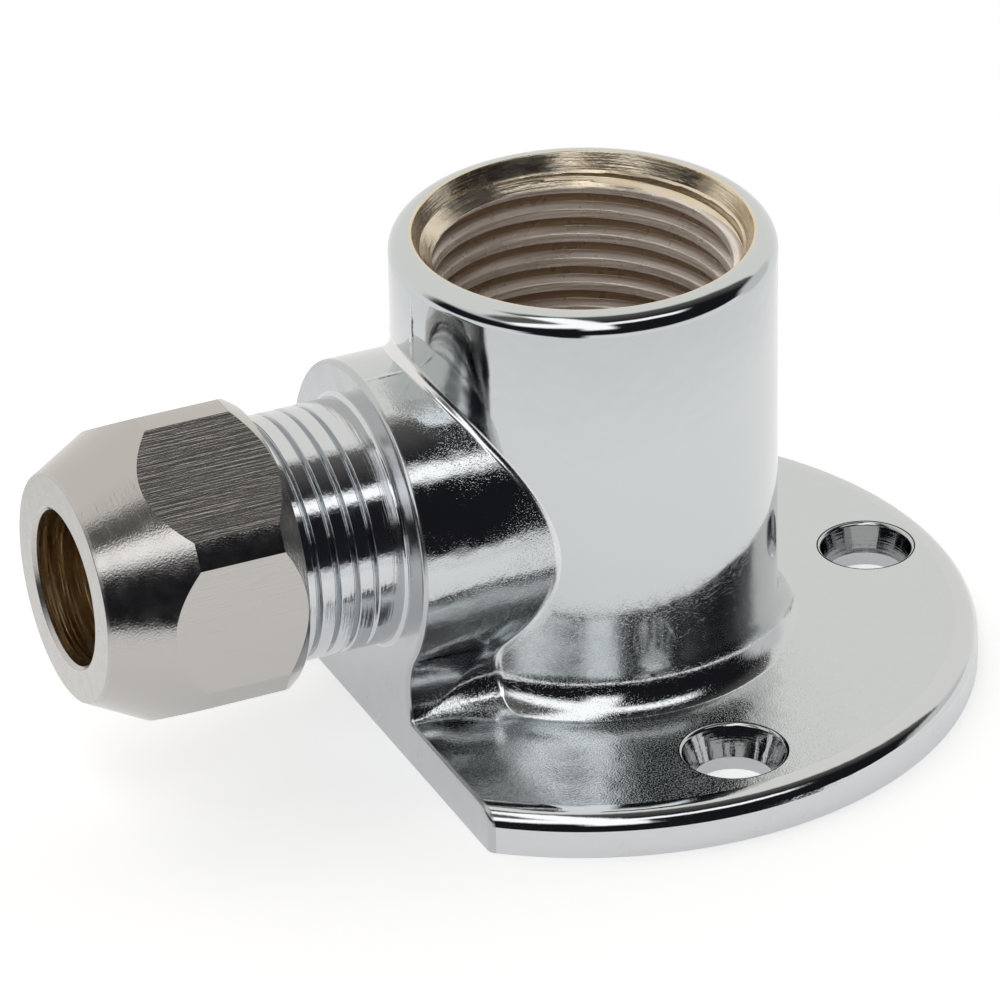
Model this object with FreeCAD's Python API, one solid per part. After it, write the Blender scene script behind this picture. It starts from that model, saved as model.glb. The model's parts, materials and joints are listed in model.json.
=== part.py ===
import FreeCAD, Part
import os
from math import cos, radians, sin, sqrt, tan

# A wall plate elbow: a forged body with a screw-down flange, a threaded socket that points away from
# the wall, and a compression outlet along the wall. Millimetres. The origin is the centre of the
# flange's wall face, +Z runs along the socket's axis, and the outlet leaves along -X.

# Flange
flange_radius = 26.05
flange_thickness = 3.0
flange_edge_round = 1.2
milled_face_reach = 16.45

# Screw holes through the flange: two at the sides and one opposite the outlet
screw_hole_radius = 2.6
screw_head_radius = 3.4
screw_hole_land = 0.9
side_hole_margin = 5.9
side_hole_angle = 87.1
rear_hole_margin = 5.2

# Socket
socket_radius = 12.7
body_height = 31.85
rim_round = 1.0
socket_thread_radius = 10.48
socket_thread_length = 12.2
mouth_radius = 11.15
mouth_depth = 1.1
chamber_radius = 8.0
chamber_floor = 3.2
drill_point_angle = 118.0

# Outlet boss and the forged blends round it
outlet_height = 14.3
boss_radius = 10.65
foot_fillet = 2.4
web_hollow = 4.5
web_narrow_rise = 2.1
web_foot_fillet = 1.2

# Spigot with its pipe socket
spigot_radius = 8.2
spigot_length = 14.15
spigot_neck = 0.35
spigot_end_chamfer = 0.8
waterway_radius = 4.0
pipe_radius = 5.0
pipe_clearance = 0.1
pipe_depth = 8.6

# Compression ring
ring_wall = 1.2
ring_tip_wall = 0.3
ring_land = 1.2
ring_front_angle = 30.0
ring_rear_angle = 45.0
ring_front_gap = 0.35
ring_rear_gap = 0.2
seat_step = 0.15

# Compression nut
nut_stand_off = 7.45
nut_length = 13.2
nut_across_flats = 19.2
nut_corner_radius = 10.58
nut_nose_radius = 7.58
nut_nose_angle = 27.4
nut_rear_radius = 9.5
nut_rear_angle = 34.4
nut_turn = 1.2
nut_bore_clearance = 0.18
nut_bore_chamfer = 0.25
nut_seat_margin = 0.6
nut_mouth_chamfer = 0.4
thread_clearance = 0.12

# Sizes that follow from the ones above
pipe_socket_radius = pipe_radius + pipe_clearance
nut_bore_radius = pipe_radius + nut_bore_clearance
nut_thread_radius = spigot_radius + thread_clearance
ring_radius = pipe_socket_radius + ring_wall
ring_tip_radius = pipe_socket_radius + ring_tip_wall
seat_mouth_radius = ring_radius - seat_step
nut_seat_radius = ring_radius + nut_seat_margin
front_slope = tan(radians(ring_front_angle))
rear_slope = tan(radians(ring_rear_angle))

# Places along the outlet, measured outwards from the socket's axis
spigot_end = milled_face_reach + spigot_length
ring_front_shoulder = spigot_end + (ring_radius - seat_mouth_radius) / front_slope + ring_front_gap
ring_rear_shoulder = ring_front_shoulder + ring_land
nut_seat_start = ring_rear_shoulder - (nut_seat_radius - ring_radius) / rear_slope + ring_rear_gap
nut_seat_end = nut_seat_start + (nut_seat_radius - nut_bore_radius) / rear_slope
nut_rear = milled_face_reach + nut_stand_off
nut_end = nut_rear + nut_length


def closed_face(edges):
    """A flat face inside a closed run of edges."""
    return Part.Face(Part.Wire(edges))


def run_of_lines(points):
    """Straight edges from each point to the next."""
    return [Part.makeLine(start, end) for start, end in zip(points, points[1:])]


def turned_upright(profile):
    """A solid turned about the socket's axis from (radius, height) points."""
    points = [FreeCAD.Vector(radius, 0, height) for radius, height in profile]
    face = closed_face(run_of_lines(points + points[:1]))
    return face.revolve(FreeCAD.Vector(0, 0, 0), FreeCAD.Vector(0, 0, 1), 360)


def turned_outlet(profile):
    """A solid turned about the outlet's axis from (radius, reach) points."""
    points = [FreeCAD.Vector(-reach, 0, outlet_height + radius) for radius, reach in profile]
    face = closed_face(run_of_lines(points + points[:1]))
    return face.revolve(FreeCAD.Vector(0, 0, outlet_height), FreeCAD.Vector(1, 0, 0), 360)


def arc_middle(centre, radius, angle):
    """The middle point of an arc in the XZ plane, at an angle from +X towards +Z."""
    direction = radians(angle)
    return centre + FreeCAD.Vector(radius * cos(direction), 0, radius * sin(direction))


def flange():
    """The round wall flange with its rounded upper edge."""
    low_edge = FreeCAD.Vector(flange_radius, 0, 0)
    round_start = FreeCAD.Vector(flange_radius, 0, flange_thickness - flange_edge_round)
    round_centre = FreeCAD.Vector(flange_radius - flange_edge_round, 0, round_start.z)
    round_middle = arc_middle(round_centre, flange_edge_round, 45)
    round_end = FreeCAD.Vector(round_centre.x, 0, flange_thickness)
    axis_top = FreeCAD.Vector(0, 0, flange_thickness)
    axis_low = FreeCAD.Vector(0, 0, 0)
    edges = [
        Part.makeLine(axis_low, low_edge),
        Part.makeLine(low_edge, round_start),
        Part.Arc(round_start, round_middle, round_end).toShape(),
        Part.makeLine(round_end, axis_top),
        Part.makeLine(axis_top, axis_low),
    ]
    return closed_face(edges).revolve(axis_low, FreeCAD.Vector(0, 0, 1), 360)


def socket():
    """The upright socket, with its rounded rim and the forged blend at its foot."""
    foot_level = flange_thickness / 2
    foot_out = FreeCAD.Vector(socket_radius + foot_fillet, 0, flange_thickness)
    foot_low = FreeCAD.Vector(foot_out.x, 0, foot_level)
    foot_centre = FreeCAD.Vector(foot_out.x, 0, flange_thickness + foot_fillet)
    foot_middle = arc_middle(foot_centre, foot_fillet, 225)
    foot_up = FreeCAD.Vector(socket_radius, 0, foot_centre.z)
    rim_start = FreeCAD.Vector(socket_radius, 0, body_height - rim_round)
    rim_centre = FreeCAD.Vector(socket_radius - rim_round, 0, rim_start.z)
    rim_middle = arc_middle(rim_centre, rim_round, 45)
    rim_end = FreeCAD.Vector(rim_centre.x, 0, body_height)
    axis_top = FreeCAD.Vector(0, 0, body_height)
    axis_low = FreeCAD.Vector(0, 0, foot_level)
    edges = [
        Part.makeLine(axis_low, foot_low),
        Part.makeLine(foot_low, foot_out),
        Part.Arc(foot_out, foot_middle, foot_up).toShape(),
        Part.makeLine(foot_up, rim_start),
        Part.Arc(rim_start, rim_middle, rim_end).toShape(),
        Part.makeLine(rim_end, axis_top),
        Part.makeLine(axis_top, axis_low),
    ]
    return closed_face(edges).revolve(axis_low, FreeCAD.Vector(0, 0, 1), 360)


def boss():
    """The outlet boss and the web under it, one section drawn along the outlet.

    Each side of the section is the boss circle, a wide hollow down to the web and a fillet onto the flange.
    """
    hollow_height = flange_thickness + web_narrow_rise
    hollow_reach = boss_radius + web_hollow
    hollow_side = sqrt(hollow_reach ** 2 - (outlet_height - hollow_height) ** 2)
    fillet_height = flange_thickness + web_foot_fillet
    fillet_reach = web_hollow - web_foot_fillet
    fillet_side = hollow_side - sqrt(fillet_reach ** 2 - (hollow_height - fillet_height) ** 2)
    foot_level = flange_thickness / 2

    def corner(side, height):
        return FreeCAD.Vector(0, side, height)

    def rounded_side(sign):
        """Hollow and fillet on one side: where they touch the boss, their arcs, and where they end."""
        hollow_centre = corner(sign * hollow_side, hollow_height)
        fillet_centre = corner(sign * fillet_side, fillet_height)
        to_boss = (corner(0, outlet_height) - hollow_centre).normalize()
        to_join = (fillet_centre - hollow_centre).normalize()
        to_flange = corner(0, -1)
        touch = hollow_centre + to_boss * web_hollow
        join = hollow_centre + to_join * web_hollow
        foot = fillet_centre + to_flange * web_foot_fillet
        hollow_middle = hollow_centre + (to_boss + to_join).normalize() * web_hollow
        fillet_middle = fillet_centre + (to_join + to_flange).normalize() * web_foot_fillet
        hollow_arc = Part.Arc(touch, hollow_middle, join).toShape()
        fillet_arc = Part.Arc(join, fillet_middle, foot).toShape()
        return touch, [hollow_arc, fillet_arc], foot

    front_touch, front_arcs, front_foot = rounded_side(-1)
    back_touch, back_arcs, back_foot = rounded_side(1)
    front_low = corner(front_foot.y, foot_level)
    back_low = corner(back_foot.y, foot_level)
    edges = [
        Part.Arc(front_touch, corner(0, outlet_height + boss_radius), back_touch).toShape(),
        *back_arcs,
        Part.makeLine(back_foot, back_low),
        Part.makeLine(back_low, front_low),
        Part.makeLine(front_low, front_foot),
        *reversed(front_arcs),
    ]
    return closed_face(edges).extrude(FreeCAD.Vector(-flange_radius, 0, 0))


def spigot():
    """The round spigot that carries the outlet's thread, with a coned neck at its root."""
    root = milled_face_reach - flange_thickness
    return turned_outlet([
        (0, root),
        (spigot_radius + spigot_neck, root),
        (spigot_radius + spigot_neck, milled_face_reach),
        (spigot_radius, milled_face_reach + spigot_neck),
        (spigot_radius, spigot_end - spigot_end_chamfer),
        (spigot_radius - spigot_end_chamfer, spigot_end),
        (0, spigot_end),
    ])


def socket_hollow():
    """The space in the socket: tapered mouth, thread and the drilled chamber below it."""
    thread_top = body_height - mouth_depth
    thread_low = thread_top - socket_thread_length
    drill_depth = chamber_radius / tan(radians(drill_point_angle / 2))
    return turned_upright([
        (0, chamber_floor),
        (chamber_radius, chamber_floor + drill_depth),
        (chamber_radius, thread_low),
        (socket_thread_radius, thread_low),
        (socket_thread_radius, thread_top),
        (mouth_radius, body_height),
        (0, body_height),
    ])


def outlet_hollow():
    """The space in the outlet: waterway, pipe socket and the cone that the ring is pressed into."""
    seat_depth = (seat_mouth_radius - pipe_socket_radius) / front_slope
    pipe_stop = spigot_end - pipe_depth
    return turned_outlet([
        (0, 0),
        (waterway_radius, 0),
        (waterway_radius, pipe_stop),
        (pipe_socket_radius, pipe_stop),
        (pipe_socket_radius, spigot_end - seat_depth),
        (seat_mouth_radius, spigot_end),
        (0, spigot_end),
    ])


def screw_hole(angle, margin):
    """A countersunk hole, at an angle from the side opposite the outlet and a distance in from the edge."""
    reach = flange_radius - margin
    hole = turned_upright([
        (0, 0),
        (screw_hole_radius, 0),
        (screw_hole_radius, screw_hole_land),
        (screw_head_radius, flange_thickness),
        (0, flange_thickness),
    ])
    hole.translate(FreeCAD.Vector(reach * cos(radians(angle)), reach * sin(radians(angle)), 0))
    return hole


def elbow_body():
    """The forged and machined body, one piece of metal."""
    forging = flange().multiFuse([socket(), boss()])
    waste_length = 2 * flange_radius
    waste = Part.makeBox(waste_length, waste_length, 2 * body_height)
    waste.translate(FreeCAD.Vector(-milled_face_reach - waste_length, -waste_length / 2, -body_height))
    body = forging.cut(waste).fuse(spigot())
    body = body.cut(socket_hollow()).cut(outlet_hollow())
    for angle, margin in (
        (-side_hole_angle, side_hole_margin),
        (side_hole_angle, side_hole_margin),
        (0, rear_hole_margin),
    ):
        body = body.cut(screw_hole(angle, margin))
    return body.removeSplitter()


def compression_ring():
    """The ring that grips the pipe, with a long cone towards the body and a short one towards the nut."""
    front_tip = ring_front_shoulder - (ring_radius - ring_tip_radius) / front_slope
    rear_tip = ring_rear_shoulder + (ring_radius - ring_tip_radius) / rear_slope
    return turned_outlet([
        (pipe_socket_radius, front_tip),
        (ring_tip_radius, front_tip),
        (ring_radius, ring_front_shoulder),
        (ring_radius, ring_rear_shoulder),
        (ring_tip_radius, rear_tip),
        (pipe_socket_radius, rear_tip),
    ])


def nut_blank():
    """The turned outside of the nut: conical nose, round barrel and rear chamfer."""
    nose_length = (nut_corner_radius - nut_nose_radius) / tan(radians(nut_nose_angle))
    rear_length = (nut_corner_radius - nut_rear_radius) / tan(radians(nut_rear_angle))
    return turned_outlet([
        (0, nut_rear),
        (nut_rear_radius, nut_rear),
        (nut_corner_radius, nut_rear + rear_length),
        (nut_corner_radius, nut_end - nose_length),
        (nut_nose_radius, nut_end),
        (0, nut_end),
    ])


def nut_hexagon():
    """The hexagon bar that leaves the nut's six flats. nut_turn tips the front flat upwards."""
    corner_reach = nut_across_flats / 2 / cos(radians(30))
    corners = []
    for index in range(7):
        direction = radians(nut_turn + 30 + 60 * index)
        side = -corner_reach * cos(direction)
        height = outlet_height + corner_reach * sin(direction)
        corners.append(FreeCAD.Vector(-nut_rear, side, height))
    return closed_face(run_of_lines(corners)).extrude(FreeCAD.Vector(-nut_length, 0, 0))


def nut_hollow():
    """The space in the nut: thread, the cone that presses the ring and the way for the pipe."""
    return turned_outlet([
        (0, nut_rear),
        (nut_thread_radius + nut_mouth_chamfer, nut_rear),
        (nut_thread_radius, nut_rear + nut_mouth_chamfer),
        (nut_thread_radius, nut_seat_start),
        (nut_seat_radius, nut_seat_start),
        (nut_bore_radius, nut_seat_end),
        (nut_bore_radius, nut_end - nut_bore_chamfer),
        (nut_bore_radius + nut_bore_chamfer, nut_end),
        (0, nut_end),
    ])


def compression_nut():
    """The hexagon nut that screws onto the spigot."""
    return nut_blank().common(nut_hexagon()).cut(nut_hollow())


os.makedirs("parts", exist_ok=True)
for node, shape in (
    ("elbow_body", elbow_body()),
    ("compression_ring", compression_ring()),
    ("compression_nut", compression_nut()),
):
    shape.exportStep("parts/" + node + ".step")
    print(node, "solids", len(shape.Solids), "volume", round(shape.Volume, 1), "valid", shape.isValid())
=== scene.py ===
import json
from math import atan2, ceil, cos, pi, radians, sin, sqrt, tan

import bpy
import numpy as np
from mathutils import Matrix, Vector
from mathutils.geometry import delaunay_2d_cdt


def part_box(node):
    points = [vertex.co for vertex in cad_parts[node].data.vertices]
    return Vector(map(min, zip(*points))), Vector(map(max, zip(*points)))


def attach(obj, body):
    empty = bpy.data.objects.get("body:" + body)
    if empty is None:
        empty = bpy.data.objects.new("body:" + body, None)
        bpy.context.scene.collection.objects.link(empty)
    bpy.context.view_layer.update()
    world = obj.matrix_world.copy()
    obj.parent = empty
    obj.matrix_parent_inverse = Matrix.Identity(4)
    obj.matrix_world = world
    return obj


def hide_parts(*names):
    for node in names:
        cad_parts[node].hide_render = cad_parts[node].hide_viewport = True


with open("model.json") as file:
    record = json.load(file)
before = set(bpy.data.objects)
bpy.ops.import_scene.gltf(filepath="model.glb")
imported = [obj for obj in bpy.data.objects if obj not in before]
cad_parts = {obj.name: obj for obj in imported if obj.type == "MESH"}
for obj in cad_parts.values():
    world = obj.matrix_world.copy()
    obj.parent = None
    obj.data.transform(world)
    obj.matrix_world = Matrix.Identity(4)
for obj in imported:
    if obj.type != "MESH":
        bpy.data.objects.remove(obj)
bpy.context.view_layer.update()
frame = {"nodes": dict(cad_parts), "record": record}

# The looks of a wall plate elbow. Its surfaces are worked out in millimetres, patch by patch, each with
# its exact normals, and scaled to metres when the mesh is made. +Z runs along the socket, and the
# outlet leaves along -X. Reach is the distance outwards along the outlet from the socket's axis.

mm = 0.001
body_low, body_high = [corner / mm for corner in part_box("elbow_body")]
nut_low, nut_high = [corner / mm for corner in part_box("compression_nut")]
mounts = {mount["name"]: mount for mount in frame["record"]["mounts"]}

# Flange
flange_radius = body_high.y
flange_thickness = 3.0
flange_edge_round = 1.15
flange_edge_corner = 1.95
flange_edge_lean = 0.28
flange_fall = 0.14
flange_fall_width = 1.02
flange_fall_round = 4.0
edge_corner_rows = slice(1, 3)
milled_face_reach = 16.45
milled_edge_round = 0.35

# Screw holes
screw_hole_radius = mounts["side_screws"]["dims"]["hole_r_mm"]
screw_hole_land = mounts["rear_screw"]["dims"]["length_mm"]
side_head_radius = 3.4
rear_head_radius = 3.1
screw_head_round = 0.3
side_hole_out = mounts["side_screws"]["dims"]["spacing_y_mm"] / 2
side_hole_back = mounts["side_screws"]["pos_m"][0] / mm
rear_hole_back = mounts["rear_screw"]["pos_m"][0] / mm
screw_holes = [
    (side_hole_back, -side_hole_out, side_head_radius),
    (side_hole_back, side_hole_out, side_head_radius),
    (rear_hole_back, 0, rear_head_radius),
]

# Socket
socket_radius = 12.7
body_height = body_high.z
rim_round = 1.35
mouth_radius = 11.15
mouth_round = 0.15
lead_in_radius = 10.63
lead_in_depth = 1.13
socket_root_radius = mounts["socket_thread"]["dims"]["r_mm"]
socket_thread_middle = mounts["socket_thread"]["pos_m"][2] / mm
socket_thread_low = socket_thread_middle - mounts["socket_thread"]["dims"]["length_mm"] / 2
socket_pitch = 1.814
socket_thread_depth = 0.74
socket_crest_half = 0.29
socket_flank_angle = 24.0
socket_crest = body_height - 2.45
socket_run_out = (socket_thread_low + 0.3, socket_thread_low + 1.7)
mouth_finish_depth = 1.95
chamber_radius = 8.0
chamber_floor = 3.2
drill_point_angle = 118.0
entry_margin = 1.0

# Outlet boss, and the forged blends round it
outlet_height = (nut_low.z + nut_high.z) / 2
boss_radius = 10.65
foot_height = 5.7
foot_flare = 3.3
foot_crease = 0.25
foot_crease_change = (3.2, 5.2)
web_hollow = 4.5
web_narrow_rise = 2.1
web_end_fillet = 0.6
web_root_fillet = 2.9
crease_round = 0.6
low_crease_round = 0.75
crease_change = (13.4, 17.0)

# The ridge that the forging die's parting line leaves
parting_side = -0.9
parting_wander = 0.12
parting_width = 0.22
parting_height = 0.07
parting_end = (-6.0, -3.0)
parting_top = (28.5, 30.5)

# Spigot
spigot_radius = 8.2
spigot_end = -body_low.x
spigot_neck = 0.35
spigot_neck_round = 0.315
spigot_end_chamfer = 0.8
spigot_pitch = 1.337
spigot_groove_depth = 0.5
spigot_groove_share = 0.17
spigot_crest = 23.354
spigot_run_out = (18.45, 18.75)
waterway_radius = 4.0
pipe_socket_radius = mounts["pipe_socket"]["dims"]["r_mm"]
pipe_depth = 8.6
seat_mouth_radius = 6.15
seat_angle = 30.0

# Nut
nut_rear = -nut_high.x
nut_end = -nut_low.x
nut_across_flats = 19.2
nut_corner_radius = 10.58
nut_nose_radius = 7.58
nut_nose_angle = 27.4
nut_nose_round = 0.2
nut_rear_radius = 9.5
nut_rear_angle = 34.4
nut_turn = 1.2
nut_bore_radius = 5.18
nut_bore_chamfer = 0.25
nut_seat_radius = 6.9
nut_seat_start = 31.81
nut_mouth_chamfer = 0.4
thread_clearance = 0.12

# How finely the patches are divided, and how they are joined
round_columns = 160
flange_columns = 220
spigot_columns = 128
hole_columns = 64
thread_rows = 24
corner_steps = 8
crown_steps = 44
web_steps = 20
straight_steps = 8
rear_steps = 2
flat_steps = 20
land_steps = 6
slope_nudge = 0.004
weld_grains = 1e4

# Camera, placed as the photograph's
camera_target = Vector((-6.2, 0, 13.19)) * mm
camera_distance = 523.67 * mm
camera_azimuth = radians(-24.253)
camera_elevation = radians(29.328)
camera_roll = radians(-0.951)
camera_lens = 286.82
camera_sensor = 36.0
camera_clip = (0.01, 10)

# Studio
floor_size = 75 * mm
floor_clear = 48 * mm
floor_columns = 96
floor_colour = (0.86, 0.86, 0.86)
floor_glow = 0.52
floor_mirrored = 0.85
room_pale = (0.93, 0.91, 0.87)
room_floor = (0.92, 0.93, 0.94)
room_side = (0.72, 0.72, 0.72)
room_dark = (0.012, 0.012, 0.015)
room_ceiling = (0.13, 0.125, 0.12)
lamp_white = (1.5, 1.5, 1.5)
pure_white = (1.0, 1.0, 1.0)

# Borders in the room, as shares of a direction along X, and along Z for its side walls
left_wall_border = (-0.92, -0.78)
far_left_border = (-0.45, -0.32)
middle_border = (-0.15, -0.05)
far_right_border = (0.45, 0.6)
right_wall_border = (0.93, 0.98)
side_foot_border = (-0.14, -0.07)
side_top_border = (0.3, 0.45)

# Where the finishes change: heights on flange and wall, the radii over which the socket's thread darkens
# towards its roots as painted shade, and the numbers that most of the noise lies between
flange_grain = (3.2, 5.5)
wall_grain = (7.0, 13.0)
root_shade_radii = (10.08, 10.46)
noise_range = (0.3, 0.7)


class Axis:
    """A turning axis. Angles start from one direction and run right-handed about the axis."""

    def __init__(self, origin, along, start):
        self.origin = np.array(origin, float)
        self.along = np.array(along, float)
        self.start = np.array(start, float)
        self.side = np.cross(self.along, self.start)

    def lean(self, out, along, angle):
        """Directions with a part outwards from the axis and a part along it."""
        angle = np.asarray(angle)[..., None]
        outward = np.cos(angle) * self.start + np.sin(angle) * self.side
        return np.asarray(out)[..., None] * outward + np.asarray(along)[..., None] * self.along

    def place(self, radius, along, angle):
        """Points at a radius and a distance along the axis."""
        return self.origin + self.lean(radius, along, angle)


socket_axis = Axis((0, 0, 0), (0, 0, 1), (1, 0, 0))
outlet_axis = Axis((0, 0, outlet_height), (-1, 0, 0), (0, -1, 0))
round_angles = np.linspace(-pi, pi, round_columns + 1)
spigot_angles = np.linspace(-pi, pi, spigot_columns + 1)
hole_angles = np.linspace(-pi, pi, hole_columns + 1)
mirror = np.array((1, -1, 1))


def filled(points, loops):
    """Triangles that fill flat loops of points, by the even and odd rule. Spare points shape the fill."""
    edges = []
    start = 0
    for count in loops:
        edges += [(start + index, start + (index + 1) % count) for index in range(count)]
        start += count
    found = delaunay_2d_cdt([Vector(point) for point in points], edges, [], 0, 1e-7)
    first_of = np.array([origin[0] for origin in found[3]])
    triangles = first_of[np.array(found[2])]
    middles = points[triangles].mean(axis=1)
    starts = points[[edge[0] for edge in edges]]
    ends = points[[edge[1] for edge in edges]]
    height = middles[:, 1:]
    spans = (starts[:, 1] > height) != (ends[:, 1] > height)
    rise = ends[:, 1] - starts[:, 1]
    rise[rise == 0] = 1
    crossing = starts[:, 0] + (height - starts[:, 1]) / rise * (ends[:, 0] - starts[:, 0])
    inside = (spans & (crossing > middles[:, :1])).sum(axis=1) % 2 == 1
    return triangles[inside]


def placed(name, data):
    """A new object in the scene."""
    thing = bpy.data.objects.new(name, data)
    bpy.context.scene.collection.objects.link(thing)
    return thing


class Skin:
    """The surface of one piece, gathered as patches that share their edge points."""

    def __init__(self):
        self.points = []
        self.normals = []
        self.faces = []
        self.finishes = []
        self.count = 0

    def add(self, points, normals, faces, finish):
        """Adds faces, turned so that each looks the way its normals do."""
        corners = points[faces]
        facing = np.cross(corners[:, 2] - corners[:, 0], corners[:, -1] - corners[:, 1])
        backwards = (facing * normals[faces].sum(axis=1)).sum(axis=1) < 0
        faces = np.where(backwards[:, None], faces[:, ::-1], faces)
        self.points.append(points)
        self.normals.append(normals)
        self.faces += (faces + self.count).tolist()
        self.finishes += [finish] * len(faces)
        self.count += len(points)

    def grid(self, points, normals, finish):
        """Adds rows of four-sided faces. Normals that repeat can be given once."""
        rows, columns = points.shape[:2]
        index = np.arange(rows * columns).reshape(rows, columns)
        faces = np.stack([index[:-1, :-1], index[:-1, 1:], index[1:, 1:], index[1:, :-1]], axis=-1)
        normals = np.broadcast_to(normals, points.shape)
        self.add(points.reshape(-1, 3), normals.reshape(-1, 3), faces.reshape(-1, 4), finish)

    def both_sides(self, points, normals, finish):
        """Adds a patch and its mirror image across the middle plane."""
        self.grid(points, normals, finish)
        self.grid(points * mirror, normals * mirror, finish)

    def flat(self, loops, axes, normal, finish):
        """Fills the first loop of points with a flat face and leaves the others open."""
        points = np.concatenate(loops)
        faces = filled(points[:, axes], [len(loop) for loop in loops])
        self.add(points, np.broadcast_to(normal, points.shape), faces, finish)

    def made(self, name, finishes):
        """The finished object, its points welded where patches meet."""
        points = np.concatenate(self.points)
        normals = np.concatenate(self.normals)
        normals /= np.linalg.norm(normals, axis=1)[:, None]
        grains = np.round(points * weld_grains).astype(np.int64)
        kept, weld = np.unique(grains, axis=0, return_index=True, return_inverse=True)[1:]
        weld = weld.reshape(-1).tolist()
        faces = []
        corner_normals = []
        slots = []
        names = list(finishes)
        for face, finish in zip(self.faces, self.finishes):
            corners = {weld[corner]: corner for corner in face}
            if len(corners) > 2:
                faces.append(list(corners))
                corner_normals += [normals[corner] for corner in corners.values()]
                slots.append(names.index(finish))
        mesh = bpy.data.meshes.new(name)
        mesh.from_pydata((points[kept] * mm).tolist(), [], faces)
        for material in finishes.values():
            mesh.materials.append(material)
        mesh.polygons.foreach_set("material_index", slots)
        mesh.polygons.foreach_set("use_smooth", [True] * len(faces))
        mesh.normals_split_custom_set(corner_normals)
        mesh.update()
        return placed(name, mesh)


def smooth_step(value, low, high):
    """Rises gently from 0 at low to 1 at high."""
    part = np.clip((value - low) / (high - low), 0, 1)
    return part * part * (3 - 2 * part)


def right_of(direction):
    """The direction square to a flat one, on its right."""
    return np.array((direction[1], -direction[0]))


def outline(corners):
    """Points and normals along straight runs between (radius, along, round) corners, air on the right.

    A corner without a round is there twice, once with each run's normal, so it stays sharp.
    """
    places = np.array([corner[:2] for corner in corners], float)
    rounds = [corner[2] if len(corner) > 2 else 0 for corner in corners]
    runs = np.diff(places, axis=0)
    runs /= np.linalg.norm(runs, axis=1)[:, None]
    points = [places[0]]
    normals = [right_of(runs[0])]
    for index in range(1, len(places) - 1):
        before = runs[index - 1]
        after = runs[index]
        turn = atan2(before[0] * after[1] - before[1] * after[0], before @ after)
        inward = -right_of(before) * np.sign(turn)
        start = places[index] - before * rounds[index] * tan(abs(turn) / 2)
        for angle in np.linspace(0, abs(turn), corner_steps + 1 if rounds[index] else 2):
            points.append(start + rounds[index] * (sin(angle) * before + (1 - cos(angle)) * inward))
            normals.append(right_of(cos(angle) * before + sin(angle) * inward))
    points.append(places[-1])
    normals.append(right_of(runs[-1]))
    return np.array(points), np.array(normals)


def turned(skin, axis, angles, corners, finish):
    """Adds a turned surface from the corners of its outline."""
    points, normals = outline(corners)
    places = axis.place(points[:, :1], points[:, 1:], angles)
    skin.grid(places, axis.lean(normals[:, :1], normals[:, 1:], angles), finish)


def threaded(skin, axis, angles, low, high, pitch, radius_at, facing, finish):
    """Adds a threaded stretch, with rows of points that climb along the thread.

    facing is 1 where the thread is outside the metal round it, and -1 where it is inside a hole.
    """
    last_row = ceil(((high - low) / pitch + 0.5) * thread_rows)
    rows = np.arange(-thread_rows // 2, last_row + 1)
    along = low + pitch * (rows[:, None] / thread_rows + angles / (2 * pi))
    along = np.clip(along, low, high)
    radius = radius_at(angles, along)
    nudge = slope_nudge
    along_slope = (radius_at(angles, along + nudge) - radius_at(angles, along - nudge)) / (2 * nudge)
    round_slope = (radius_at(angles + nudge, along) - radius_at(angles - nudge, along)) / (2 * nudge)
    normals = axis.lean(1, -along_slope, angles)
    normals -= axis.lean(round_slope / radius, 0, angles + pi / 2)
    skin.grid(axis.place(radius, along, angles), facing * normals, finish)


def thread_phase(angle, along, crest, pitch):
    """How many turns a point is past the crest that the thread starts from."""
    return (along - crest) / pitch - angle / (2 * pi)


def socket_thread(angle, along):
    """The socket's radius in its thread, with the turned lead-in above and the run-out below."""
    phase = thread_phase(angle, along, socket_crest, socket_pitch)
    from_crest = socket_pitch * np.abs(phase - np.round(phase))
    flank = socket_thread_depth * tan(radians(socket_flank_angle))
    ridge = 1 - np.clip((from_crest - socket_crest_half) / flank, 0, 1)
    ridge = ridge * smooth_step(along, *socket_run_out)
    lead_in = lead_in_radius - (body_height - lead_in_depth - along)
    return np.maximum(socket_root_radius - socket_thread_depth * ridge, lead_in)


def spigot_groove(angle, along):
    """How deep the groove of the spigot's thread is at a point, from 0 to 1. It runs out near the boss."""
    phase = thread_phase(angle, along, spigot_crest, spigot_pitch)
    groove_reach = spigot_crest + spigot_pitch * (np.floor(phase) + 0.5 + angle / (2 * pi))
    from_groove = np.abs(phase - np.floor(phase) - 0.5)
    depth = smooth_step(spigot_groove_share - from_groove, 0, spigot_groove_share)
    return depth * smooth_step(groove_reach, *spigot_run_out)


def spigot_thread(angle, along):
    """The spigot's radius in its thread, which ends in a chamfer."""
    chamfer = spigot_radius + spigot_end - spigot_end_chamfer - along
    return np.minimum(spigot_radius - spigot_groove_depth * spigot_groove(angle, along), chamfer)


def nut_thread(angle, along):
    """The nut's radius in its thread, which clears the spigot's all along."""
    full = smooth_step(along, nut_rear + nut_mouth_chamfer, nut_rear + spigot_pitch)
    full = full * smooth_step(-along, -nut_seat_start, spigot_pitch - nut_seat_start)
    depth = spigot_groove_depth * spigot_groove(angle, along) * full
    return spigot_radius + thread_clearance - depth


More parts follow.
